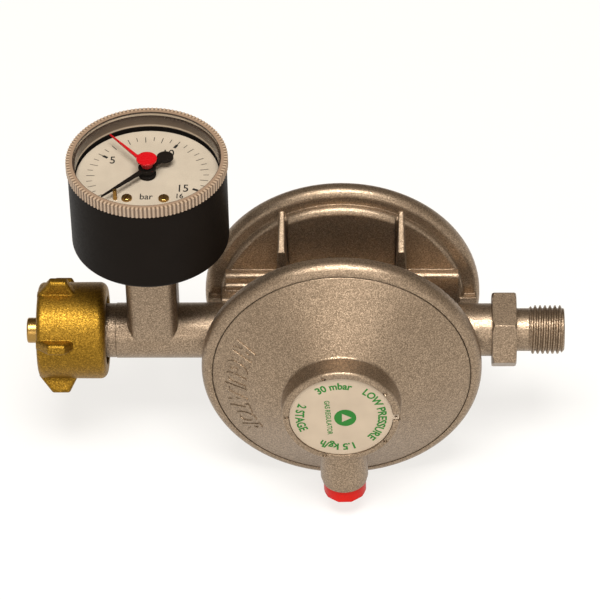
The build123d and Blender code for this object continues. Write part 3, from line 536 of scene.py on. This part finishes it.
def outlet_detail():
    """The outlet fitting again, its end now a left-hand screw thread with a chamfer."""
    around, rows_per_turn = 64, 12
    piece = bpy.data.objects.new("outlet_threaded", nodes["outlet_fitting"].data.copy())
    scene.collection.objects.link(piece)
    work = bmesh.new()
    work.from_mesh(piece.data)
    edge = (NECK_END_X - 0.05) * MM
    plain_end = [f for f in work.faces if min(v.co.x for v in f.verts) > edge]
    bmesh.ops.delete(work, geom=plain_end, context="FACES")
    length = OUTLET_END_X - NECK_END_X
    rows = int(length / THREAD_PITCH * rows_per_turn)
    grid = []
    for row in range(rows + 1):
        x = NECK_END_X + length * row / rows
        grid.append(circle(work, x, [thread_radius(x, k / around) for k in range(around)]))
    for x in (OUTLET_END_X, NECK_END_X):
        grid.append(circle(work, x, [OUTLET_BORE_R] * around))
    for a, b in zip(grid, grid[1:]):
        for k in range(around):
            n = (k + 1) % around
            work.faces.new((a[k], a[n], b[n], b[k]))
    bmesh.ops.recalc_face_normals(work, faces=work.faces)
    work.to_mesh(piece.data)
    work.free()
    piece.data.materials.clear()
    piece.data.materials.append(MATERIALS["cast_metal"])
    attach(piece, "housing")
    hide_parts("outlet_fitting")


outlet_detail()


# ---- floor, light and camera --------------------------------------------------------------------
def floor():
    """Wide pale floor under the object."""
    z = cad_low.z - FLOOR_GAP * MM
    half = 6.0
    mesh = bpy.data.meshes.new("floor")
    mesh.from_pydata([(-half, -half, z), (half, -half, z), (half, half, z), (-half, half, z)],
                     [], [(0, 1, 2, 3)])
    material, _, shader = new_material("floor")
    shader.inputs["Base Color"].default_value = (0.18, 0.18, 0.175, 1)
    shader.inputs["Roughness"].default_value = 0.9
    shader.inputs["Emission Color"].default_value = (1.0, 0.98, 0.95, 1)
    shader.inputs["Emission Strength"].default_value = 0.78
    mesh.materials.append(material)
    plane = bpy.data.objects.new("floor", mesh)
    scene.collection.objects.link(plane)


def area_light(name, azimuth, elevation, distance, size, power, colour):
    """Soft rectangular light that faces the object's middle from a direction."""
    target = Vector((0.07, 0.0, 0.0))
    light = bpy.data.lights.new(name, "AREA")
    light.shape = "RECTANGLE"
    light.size, light.size_y = size
    light.energy = power
    light.color = colour
    lamp = bpy.data.objects.new(name, light)
    a, e = radians(azimuth), radians(elevation)
    back = Vector((sin(a) * cos(e), -cos(a) * cos(e), sin(e)))
    lamp.location = target + back * distance
    lamp.rotation_euler = (-back).to_track_quat("-Z", "Y").to_euler()
    scene.collection.objects.link(lamp)


def room():
    """World light: brighter in front, dim behind."""
    world = bpy.data.worlds.new("room")
    world.use_nodes = True
    tree = world.node_tree
    background = tree.nodes["Background"]
    direction = tree.nodes.new("ShaderNodeTexCoord").outputs["Generated"]
    split = tree.nodes.new("ShaderNodeSeparateXYZ")
    tree.links.new(direction, split.inputs["Vector"])
    front = math_node(tree, "MULTIPLY", split.outputs["Y"], -0.5)
    front = math_node(tree, "ADD", front, 0.5)
    tone = ramp(tree, front, [(0.0, (0.12, 0.10, 0.08)), (0.45, (0.24, 0.205, 0.16)),
                              (0.8, (0.45, 0.41, 0.36)), (1.0, (0.75, 0.71, 0.66))])
    tree.links.new(tone, background.inputs["Color"])
    background.inputs["Strength"].default_value = 1.0
    scene.world = world


def camera():
    """Long-lens camera in front of the object, 41 degrees above it."""
    azimuth, elevation, roll = radians(1.729), radians(41.179), radians(-1.230)
    target = Vector((70.79, 0.0, 10.75)) * MM
    distance = 1.0
    back = Vector((sin(azimuth) * cos(elevation), -cos(azimuth) * cos(elevation),
                   sin(elevation)))
    right = Vector((cos(azimuth), sin(azimuth), 0.0))
    up = back.cross(right)
    right_rolled = right * cos(roll) + up * sin(roll)
    up_rolled = up * cos(roll) - right * sin(roll)
    data = bpy.data.cameras.new("camera")
    data.sensor_width = 36.0
    data.lens = 223.06
    data.clip_end = 20.0
    view = bpy.data.objects.new("camera", data)
    turn = Matrix((right_rolled, up_rolled, back)).transposed().to_4x4()
    view.matrix_world = Matrix.Translation(target + back * distance) @ turn
    scene.collection.objects.link(view)
    scene.camera = view


floor()
room()
area_light("key", 0, 71, 0.9, (0.5, 0.34), 12.0, (1.0, 0.99, 0.97))
area_light("front", 3, 20, 1.2, (0.9, 0.4), 3.2, (1.0, 0.97, 0.93))
camera()
scene.view_settings.view_transform = "Standard"
